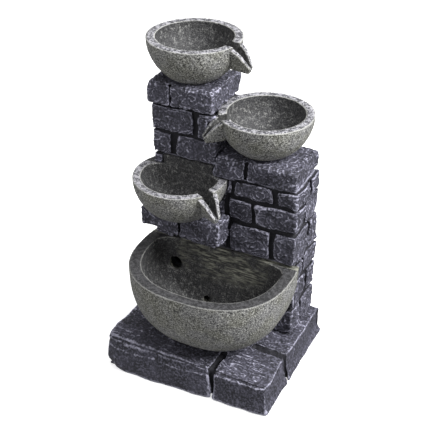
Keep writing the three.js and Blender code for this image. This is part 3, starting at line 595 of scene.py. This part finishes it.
OLIVE_STONE, GREY_STONE, PALE_GRAIN = (0.168, 0.168, 0.142), (0.200, 0.200, 0.203), (0.50, 0.50, 0.47)
DARK_GRAIN, PIT = (0.030, 0.030, 0.029), (0.028, 0.028, 0.027)
RIM_DARK, RIM_PALE = (0.050, 0.050, 0.057), (0.40, 0.395, 0.425)
INSIDE_DARK, INSIDE_GREY = (0.014, 0.014, 0.016), (0.085, 0.085, 0.090)
DAB_DARK, DAB_PALE = (0.045, 0.045, 0.048), (0.27, 0.27, 0.26)
STREAK_DARK, STREAK_OLIVE = (0.022, 0.022, 0.021), (0.33, 0.33, 0.27)
WORN_PALE, GRANITE_HOLLOW_SHADE, PAINTED_SHADE_BLACK = (0.42, 0.42, 0.40), (0.012, 0.012, 0.012), (0.010, 0.010, 0.010)
BRUSHED = (0.13, 1, 0.75)


def granite_inside(p, grain, broad, dabs):
    """A bowl's dark inside, with paler dabs, and olive strokes brushed along a rear wall."""
    strokes = p.make("VectorMath", {0: p.place, 1: BRUSHED}, operation="MULTIPLY").outputs["Vector"]
    streaks = p.noise(1.7, 3, place=strokes)
    bare = p.mix(p.ramp(grain, 0.40, 0.72), INSIDE_DARK, INSIDE_GREY)
    bare = p.mix(p.ramp(dabs, 0.46, 0.70), bare, p.mix(p.ramp(grain, 0.42, 0.68), DAB_DARK, DAB_PALE))
    olive = p.mix(p.ramp(streaks, 0.38, 0.66), STREAK_DARK, STREAK_OLIVE)
    return p.mix(p.times(p.note("wall"), p.ramp(broad, 0.30, 0.56)), bare, olive)


def granite_paint():
    """Olive-grey granular stone: greyer on the rim, darker inside, with pale worn edges, and painted shade
    in hollows, the spout channel and the hole.
    """
    p = Paint("speckled_granite")
    broad = p.noise(22, 3)
    grain = p.noise(1.45, 3)
    pits = p.noise(2.6, 2)
    dabs = p.noise(5, 4)
    body = p.mix(p.ramp(broad, 0.35, 0.65), OLIVE_STONE, GREY_STONE)
    body = p.mix(p.ramp(grain, 0.50, 0.68), body, PALE_GRAIN)
    body = p.mix(p.ramp(grain, 0.48, 0.34), body, DARK_GRAIN)
    body = p.mix(p.ramp(pits, 0.42, 0.30), body, PIT)

    clusters = p.add(grain, p.around_zero(dabs, 0.9))
    body = p.mix(p.note("rim"), body, p.mix(p.ramp(clusters, 0.38, 0.66), RIM_DARK, RIM_PALE))
    body = p.mix(p.times(p.note("inside"), 0.93), body, granite_inside(p, grain, broad, dabs))
    catch = p.ramp(p.add(p.note("worn"), p.around_zero(grain, 1.8)), 0.5, 1.15)
    body = p.mix(p.times(catch, 0.7), body, WORN_PALE)
    # Painted shade in the hollows.
    body = p.mix(p.times(p.note("hollow"), 0.6), body, GRANITE_HOLLOW_SHADE)
    # Painted shade: near black in the spout channel, the hole and a darkened rim.
    colour = p.mix(p.note("painted_shade"), body, PAINTED_SHADE_BLACK)
    rough = p.ramp(grain, 0.3, 0.7, 0.6, 0.88)
    return p.finish(colour, rough, [(broad, 0.8), (pits, 0.55), (grain, 0.45)])


def plain_paint(name, light, dark, roughness, grain, depth, **values):
    """A moulded or drawn material: two close tones, a fine grain and uneven gloss."""
    p = Paint(name)
    broad = p.noise(12, 3)
    fine = p.noise(grain, 4)
    colour = p.mix(p.ramp(broad, 0.3, 0.7), dark, light)
    colour = p.mix(p.times(p.ramp(fine, 0.4, 0.7), 0.35), colour, light)
    rough = p.ramp(fine, 0.3, 0.7, roughness - 0.08, min(1.0, roughness + 0.1))
    return p.finish(colour, rough, [(broad, depth), (fine, depth)], **values)


# ---- the fountain's stone -------------------------------------------------------------------------

FOUNTAIN, COVER = "fountain", "back_cover"
slate = slate_paint()
granite = granite_paint()

SHELLS = {"tower": 100, "column": 200}
SHELL_VOXEL, SHELL_SWELL, SHELL_WALL = 1.05, 0.7, 5.0
CAPS = {"top": 300, "right": 400, "ledge": 520}
CAP_VOXEL, CAP_DEPTH, CAP_SWELL = 0.9, 3.5, 0.5


def build_shells():
    for place, seed in SHELLS.items():
        node = f"{place}_shell"
        buried = inside_shell(node, SHELL_WALL)
        shell = fine_copy(f"{place}_stonework", node, SHELL_VOXEL)
        carve(shell, node, seed, swell=SHELL_SWELL, hidden=buried)
        thin_out(shell, buried)
        put(shell, FOUNTAIN, "slate_stone", slate, node)


def build_caps():
    for place, seed in CAPS.items():
        node = f"{place}_capstone"
        cap = fine_copy(f"{place}_capstone_carved", node, CAP_VOXEL)
        carve(cap, node, seed, depth=CAP_DEPTH, top_too=True, rounding=4, swell=CAP_SWELL)
        put(cap, FOUNTAIN, "slate_stone", slate, node)


SLAB_VOXEL, SLAB_DEPTH, SLAB_WALL, SLAB_SWELL = 1.15, 3.5, 5, 0.8
SLAB_SEED, SLAB_EDGE_SEED = 600, 61
SLAB_GRAIN = (6, 1.0, 2.2)
# The slab's front joint, left of which the top edge is cut back further down.
FRONT_JOINT, EDGE_LEFT, EDGE_RIGHT, CUT_BACK = 36, 9, 4.5, 1.6
# How far the sides swell: everywhere, at the right, and along the front with its growth to the left.
SIDE_SWELL, RIGHT_SWELL, FRONT_SWELL, LEFT_GROWTH = 1.5, 0.8, 1.5, 4
CORNER_ROUNDING = 5


def under_slab(points):
    """Marks the points on the slab's underside."""
    top = box_of("base_slab")[1][2]
    aside = step(sides_out(points, "base_slab", SLAB_WALL), 0, 1.5)
    return (1 - aside) * (1 - step(points[:, 2], top - 6, top - 5))


def slab_lean(points, normals):
    """The slab's sides swell towards the floor, most at the left of the front, under a cut-back edge."""
    low, high = box_of("base_slab")
    aside = 1 - step(np.abs(normals[:, 2]), 0.4, 0.8)
    down = 1 - np.clip((points[:, 2] - low[2]) / (high[2] - low[2]), 0, 1)
    leftward = step(high[0] - points[:, 0], 0, high[0] - low[0])
    front = step(-normals[:, 1], 0.4, 0.8)
    edge = high[2] - np.where(points[:, 0] < FRONT_JOINT, EDGE_LEFT, EDGE_RIGHT)
    edge = edge + 1.2 * lumps(points, 17, SLAB_EDGE_SEED)
    cut_back = CUT_BACK * step(points[:, 2], edge - 0.6, edge + 0.6)
    right = RIGHT_SWELL * step(normals[:, 0], 0.4, 0.8)
    off_corner = step(points[:, 0] - low[0], 0, 30)
    from_corner = points[:, 0] - low[0] + points[:, 1] - low[1]
    rounded = CORNER_ROUNDING * step(-from_corner, -13, 1)
    swelling = SIDE_SWELL + right + off_corner * front * (FRONT_SWELL + LEFT_GROWTH * leftward)
    return aside * (-rounded + down * swelling - cut_back)


def build_slab():
    slab = fine_copy("base_slab_carved", "base_slab", SLAB_VOXEL)
    carve(
        slab, "base_slab", SLAB_SEED, depth=SLAB_DEPTH, top_too=True, rounding=3, combed=0.8,
        swell=SLAB_SWELL, along=SLAB_GRAIN, lean=slab_lean, hidden=under_slab,
    )
    thin_out(slab, under_slab)
    put(slab, FOUNTAIN, "slate_stone", slate, "base_slab")


# Each bowl's radius outside and inside, the sides of its box that its spout doesn't reach (0 low, 1 high,
# across and in depth), its rim's height above its foot, its spout's direction in degrees and its seed.
BOWLS = {
    "top": (54.8, 44.6, (0, 1), 47.7, -5, 700),
    "right": (54.8, 44.6, (1, 1), 49.0, -141, 800),
    "left": (55.8, 46.4, (0, 0), 45.9, -28, 900),
}
BOWL_VOXEL, BOWL_FLOOR, BELOW_FLOOR = 0.95, 8, 1.5
SPLASH_BOWL, SPLASH_REACH = "left", 15.4


def build_bowls():
    for place, (radius, inner, sides, rim_height, turn, seed) in BOWLS.items():
        node = f"{place}_bowl"
        corners = box_of(node)
        x, y = (corners[side][k] + (-radius if side else radius) for k, side in enumerate(sides))
        middle = np.array([x, y, corners[0][2] + rim_height])
        depth = rim_height - BOWL_FLOOR + BELOW_FLOOR
        back = wall = None
        if place == SPLASH_BOWL:
            back = (inner, SPLASH_REACH, depth, 3, 2.15)
            wall = y + SPLASH_REACH
        bowl = fine_copy(f"{place}_bowl_cast", node, BOWL_VOXEL)
        outside = (radius, radius, radius, 2, 2)
        hollow = (inner, inner, depth, 2, 2.15)
        weather_bowl(bowl, middle, outside, hollow, seed, turn=turn, back=back, wall=wall)
        put(bowl, FOUNTAIN, "granite_bowl", granite, node)


# The basin's half width and half depth outside and inside, its depths, and its straight rear wall.
BASIN_HALF, BASIN_INNER, BASIN_BACK = (98.7, 92.4), (84.3, 79.4), 24.4
BASIN_DEPTH, BASIN_INNER_DEPTH, BASIN_VOXEL, BASIN_SEED = 103, 88.6, 1.2, 1000
HOLE_FROM_LEFT, HOLE_ABOVE_FOOT = 33.0, 58.0


def build_basin():
    low, high = box_of("lower_basin")
    middle = np.array([low[0] + BASIN_HALF[0], low[1] + BASIN_HALF[1], high[2]])
    basin = fine_copy("lower_basin_cast", "lower_basin", BASIN_VOXEL)
    weather_bowl(
        basin,
        middle,
        (*BASIN_HALF, BASIN_DEPTH, 2.4, 2.5),
        (*BASIN_INNER, BASIN_INNER_DEPTH, 2.4, 2.5),
        BASIN_SEED,
        back=(BASIN_INNER[0], BASIN_BACK, BASIN_INNER_DEPTH, 4, 2.5),
        wall=middle[1] + BASIN_BACK,
        rim_shade=0.84,
        hole=(low[0] + HOLE_FROM_LEFT, low[2] + HOLE_ABOVE_FOOT),
    )
    put(basin, FOUNTAIN, "granite_bowl", granite, "lower_basin")


build_shells()
build_caps()
build_slab()
build_bowls()
build_basin()


# ---- cover, hose and sponge -----------------------------------------------------------------------

COVER_VOXEL, COVER_SEED, COVER_LINES, COVER_RIDGE, COVER_GRAIN = 0.8, 1200, 4.5, 0.45, 0.3
HOSE_VOXEL, HOSE_SWELL, HOSE_RIB, HOSE_RIB_DEPTH = 0.7, 0.25, 2.4, 0.12
SPONGE_VOXEL, SPONGE_SEED, PORE_DEPTH, PORE_SIZES = 0.55, 1300, 0.55, (2.2, 1.3)


def build_cover():
    """The back cover, with the stonework's combed texture on its outer face."""
    cover = fine_copy("rear_cover_textured", "rear_cover", COVER_VOXEL)
    skin = Skin(cover)
    back = box_of("rear_cover")[1][1]
    shown = step(skin.points[:, 1], back - 1.2, back - 0.4)
    normals = skin.normals()
    level = fractal(skin.points, 22, 2, COVER_SEED) * COVER_LINES
    texture = COVER_RIDGE * ridges(level) + COVER_GRAIN * fractal(skin.points, 9, 3, COVER_SEED + 10) - 0.25
    skin.points += normals * (texture * shown)[:, None]
    normals = skin.normals()
    skin.note("worn", np.clip(skin.relief(2, normals) / 0.1 - 0.1, 0, 1.5))
    # Painted shade: the hollows of the cover's texture are marked for darkening.
    skin.note("hollow", step(-skin.relief(10, normals), 0.2, 1.0))
    skin.note("tone", 0.4)
    skin.note("level", level)
    skin.note("lined", 0.25)
    put(cover, COVER, "cover_resin", slate, "rear_cover")


def build_hose():
    """The riser hose, with fine ribs round it."""
    hose = fine_copy("riser_hose_ribbed", "riser_hose", HOSE_VOXEL)
    skin = Skin(hose)
    skin.points = skin.smooth(skin.points, 6, 0.5)
    ribs = np.sin(skin.points[:, 2] * 2 * np.pi / HOSE_RIB)
    skin.points += skin.normals() * (HOSE_SWELL + HOSE_RIB_DEPTH * ribs)[:, None]
    skin.store()
    vinyl = plain_paint("hose_vinyl", (0.56, 0.60, 0.57), (0.42, 0.47, 0.44), 0.25, 2.0, 0.05)
    put(hose, FOUNTAIN, "hose_vinyl", vinyl, "riser_hose")


def build_sponge():
    """The intake sponge, with open pores in two sizes."""
    sponge = fine_copy("intake_sponge_foam", "intake_sponge", SPONGE_VOXEL)
    skin = Skin(sponge)
    skin.points = skin.smooth(skin.points, 4, 0.5)
    noises = (lumps(skin.points, size, SPONGE_SEED + k) for k, size in enumerate(PORE_SIZES))
    large, small = (step(noise, 0.1, 0.6) for noise in noises)
    skin.points -= skin.normals() * (PORE_DEPTH * (large + 0.5 * small))[:, None]
    skin.store()
    foam = plain_paint("sponge_foam", (0.045, 0.045, 0.05), (0.02, 0.02, 0.024), 0.9, 0.8, 0.4)
    put(sponge, FOUNTAIN, "sponge_foam", foam, "intake_sponge")


build_cover()
build_hose()
build_sponge()


# ---- finishes of the other pieces -----------------------------------------------------------------

FINISHES = {
    # slot: light tone, dark tone, roughness, grain in mm, its depth in mm, metallic
    "foot_rubber": ((0.040, 0.040, 0.042), (0.022, 0.022, 0.024), 0.80, 0.9, 0.15, 0.0),
    "screw_steel": ((0.60, 0.61, 0.63), (0.42, 0.43, 0.45), 0.32, 0.5, 0.02, 1.0),
    "black_rubber": ((0.032, 0.032, 0.034), (0.016, 0.016, 0.018), 0.72, 1.0, 0.12, 0.0),
    "tub_plastic": ((0.050, 0.052, 0.058), (0.028, 0.030, 0.034), 0.55, 1.4, 0.10, 0.0),
    "pump_plastic": ((0.024, 0.025, 0.028), (0.010, 0.011, 0.013), 0.38, 1.2, 0.06, 0.0),
    "stator_iron": ((0.34, 0.35, 0.37), (0.20, 0.21, 0.22), 0.45, 0.6, 0.05, 1.0),
    "coil_copper": ((0.55, 0.23, 0.08), (0.30, 0.11, 0.03), 0.35, 0.5, 0.15, 1.0),
    "ferrite": ((0.045, 0.045, 0.048), (0.022, 0.022, 0.024), 0.50, 0.8, 0.05, 0.0),
    "impeller_plastic": ((0.70, 0.70, 0.64), (0.58, 0.58, 0.52), 0.40, 1.0, 0.04, 0.0),
    "shaft_ceramic": ((0.86, 0.86, 0.84), (0.72, 0.72, 0.70), 0.22, 0.6, 0.01, 0.0),
}


def paint_the_rest():
    """Gives the CAD nodes that are shown as they are a material by their slot."""
    paints = {}
    for slot, (*values, metal) in FINISHES.items():
        paints[slot] = plain_paint(slot, *values, metallic=metal)
    for subpart in frame["record"]["subparts"]:
        if subpart["material_slot"] in paints:
            for socket in frame["nodes"][subpart["node"]].material_slots:
                socket.material = paints[subpart["material_slot"]]


paint_the_rest()


# ---- camera, light and floor ----------------------------------------------------------------------

AIM = Vector((-0.0027, -0.0016, 0.1971))
AZIMUTH, ELEVATION, DISTANCE = 26.5, 32.2, 1.1028
FOCAL_LENGTH, SENSOR_WIDTH = 79.13, 36
LIGHTS = (
    # name, azimuth and elevation in degrees, distance and size in metres, power in watts
    ("key", 92, 42, 1.6, 0.8, 42),
    ("fill", -20, 30, 1.8, 1.2, 5),
    ("overhead", 60, 80, 1.6, 1.0, 8),
    ("rear", 188, 30, 1.8, 1.2, 10),
)
SKY_STRENGTH, FLOOR_GLOW = 0.38, 0.6
FLOOR_HALF = 6


def aimed(name, data, azimuth, elevation, distance):
    """A camera or light that looks at AIM from these angles in degrees. Azimuth 0 is straight in front."""
    a, e = math.radians(azimuth), math.radians(elevation)
    away = Vector((math.sin(a) * math.cos(e), -math.cos(a) * math.cos(e), math.sin(e)))
    thing = bpy.data.objects.new(name, data)
    thing.location = AIM + distance * away
    thing.rotation_euler = (AIM - thing.location).to_track_quat("-Z", "Y").to_euler()
    bpy.context.scene.collection.objects.link(thing)
    return thing


def set_camera():
    lens = bpy.data.cameras.new("camera")
    lens.lens = FOCAL_LENGTH
    lens.sensor_width = SENSOR_WIDTH
    lens.clip_start = 0.05
    bpy.context.scene.camera = aimed("camera", lens, AZIMUTH, ELEVATION, DISTANCE)
    bpy.context.scene.view_settings.view_transform = "Standard"


def set_lights():
    for name, azimuth, elevation, distance, size, power in LIGHTS:
        light = bpy.data.lights.new(name, "AREA")
        light.shape = "DISK"
        light.size = size
        light.energy = power
        lamp = aimed(name, light, azimuth, elevation, distance)
        lamp.visible_glossy = name != "rear"
    world = bpy.data.worlds.new("studio")
    bpy.context.scene.world = world
    world.use_nodes = True
    sky = world.node_tree.nodes["Background"].inputs
    sky["Color"].default_value = (1, 1, 1, 1)
    sky["Strength"].default_value = SKY_STRENGTH


def set_floor():
    """A white floor that glows a little, so that it reads as a studio's backdrop."""
    mesh = bpy.data.meshes.new("floor")
    corners = [(x * FLOOR_HALF, y * FLOOR_HALF, 0) for x, y in ((-1, -1), (1, -1), (1, 1), (-1, 1))]
    mesh.from_pydata(corners, [], [(0, 1, 2, 3)])
    floor = bpy.data.objects.new("floor", mesh)
    bpy.context.scene.collection.objects.link(floor)
    p = Paint("floor")
    tone = p.mix(p.noise(300, 2), (0.93, 0.93, 0.93), (0.95, 0.95, 0.95))
    glow = {"emission_strength": FLOOR_GLOW, "emission_color": (1, 1, 1, 1)}
    mesh.materials.append(p.finish(tone, 0.9, [(p.noise(40, 2), 0.01)], **glow))
    floor.visible_diffuse = False
    floor.visible_glossy = False


set_camera()
set_lights()
set_floor()
